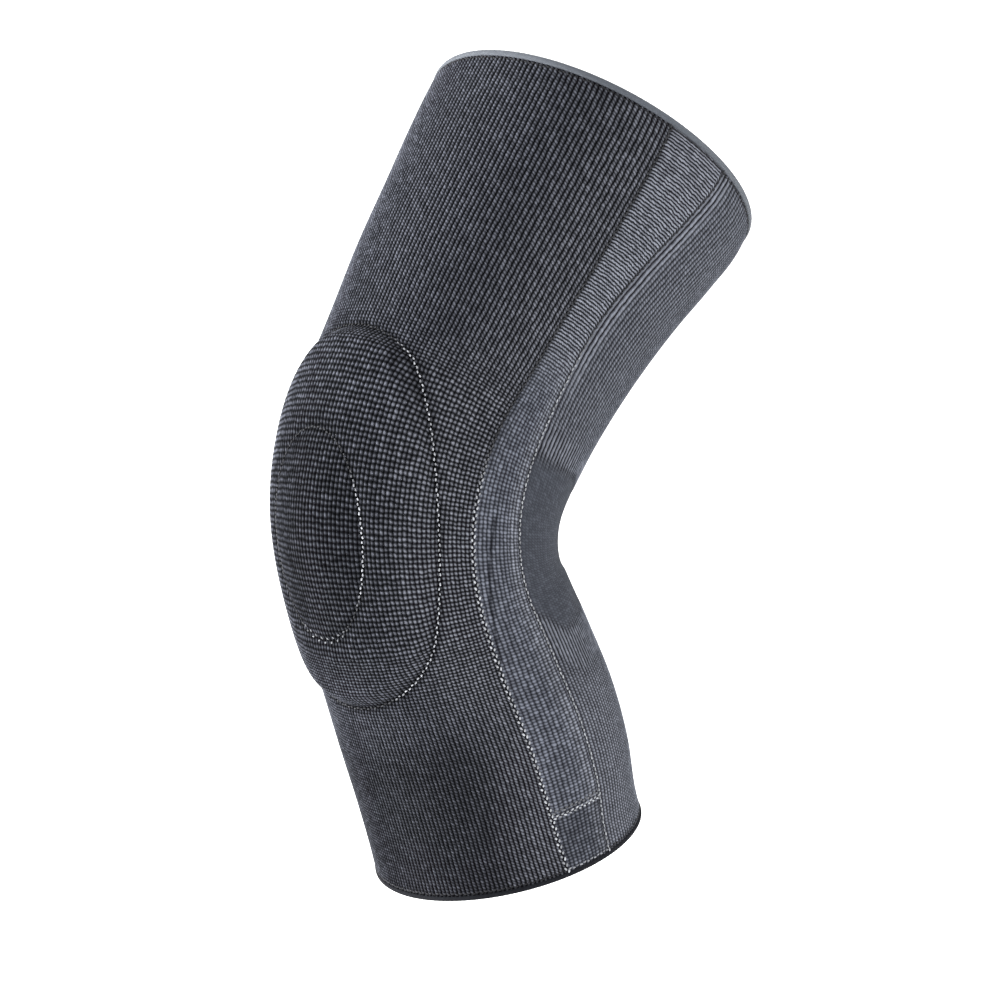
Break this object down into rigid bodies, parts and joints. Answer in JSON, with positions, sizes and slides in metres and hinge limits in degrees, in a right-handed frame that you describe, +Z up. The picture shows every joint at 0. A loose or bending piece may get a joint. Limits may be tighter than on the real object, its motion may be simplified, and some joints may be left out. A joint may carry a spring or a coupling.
{
  "type": "knee brace",
  "caption": "Knitted compression knee sleeve with a ring pad around the kneecap and a bendable stay in a channel on each side, shaped to a half-bent knee.",
  "frame": {"origin": "the middle of the knee inside the tube, where the brace bends", "axes": "+Z up, -Y out of the front of the kneecap, +X to the outer side of a left knee"},
  "size_m": [0.1576, 0.2275, 0.3666],
  "materials": {
    "main_knit": "ribbed elastic knit, dark slate grey with a fine lighter fleck",
    "channel_knit": "finer ribbed knit of the side channels",
    "fine_knit": "smooth fine knit behind the knee",
    "edge_knit": "smooth lighter grey folded edge",
    "lining_knit": "plain inner lining",
    "pad_silicone": "soft translucent silicone",
    "stay_steel": "flat spiral spring steel",
    "tip_plastic": "dipped plastic tip",
    "seam_thread": "light grey stitching thread"
  },
  "bodies": {
    "thigh_section": {"back_knit_thigh": "main_knit", "front_knit_knee": "main_knit", "front_knit_thigh": "main_knit", "kneecap_knit": "main_knit", "kneecap_ring_pad": "pad_silicone", "lateral_channel_face_knee": "channel_knit", "lateral_channel_face_thigh": "channel_knit", "lateral_channel_lining_knee": "lining_knit", "lateral_channel_lining_thigh": "lining_knit", "lateral_stay": "stay_steel", "lateral_stay_upper_tip": "tip_plastic", "medial_channel_face_knee": "channel_knit", "medial_channel_face_thigh": "channel_knit", "medial_channel_lining_knee": "lining_knit", "medial_channel_lining_thigh": "lining_knit", "medial_stay": "stay_steel", "medial_stay_upper_tip": "tip_plastic", "pad_pocket_cover": "main_knit", "popliteal_knit": "fine_knit", "thigh_edge_band": "edge_knit"},
    "shin_section": {"back_knit_shin": "main_knit", "calf_edge_band": "main_knit", "front_knit_shin": "main_knit", "lateral_channel_face_shin": "channel_knit", "lateral_channel_lining_shin": "lining_knit", "lateral_channel_tack": "seam_thread", "lateral_stay_lower_tip": "tip_plastic", "medial_channel_face_shin": "channel_knit", "medial_channel_lining_shin": "lining_knit", "medial_channel_tack": "seam_thread", "medial_stay_lower_tip": "tip_plastic"}
  },
  "joints": [
    {"name": "knee_flexion", "type": "hinge", "parent": "thigh_section", "child": "shin_section", "pos_m": [0, 0, 0], "axis": [1, 0, 0], "range_deg": [-52.5, 55], "deforming": ["front_knit_knee", "kneecap_knit", "kneecap_ring_pad", "lateral_channel_face_knee", "lateral_channel_lining_knee", "lateral_stay", "medial_channel_face_knee", "medial_channel_lining_knee", "medial_stay", "pad_pocket_cover", "popliteal_knit"]}
  ]
}
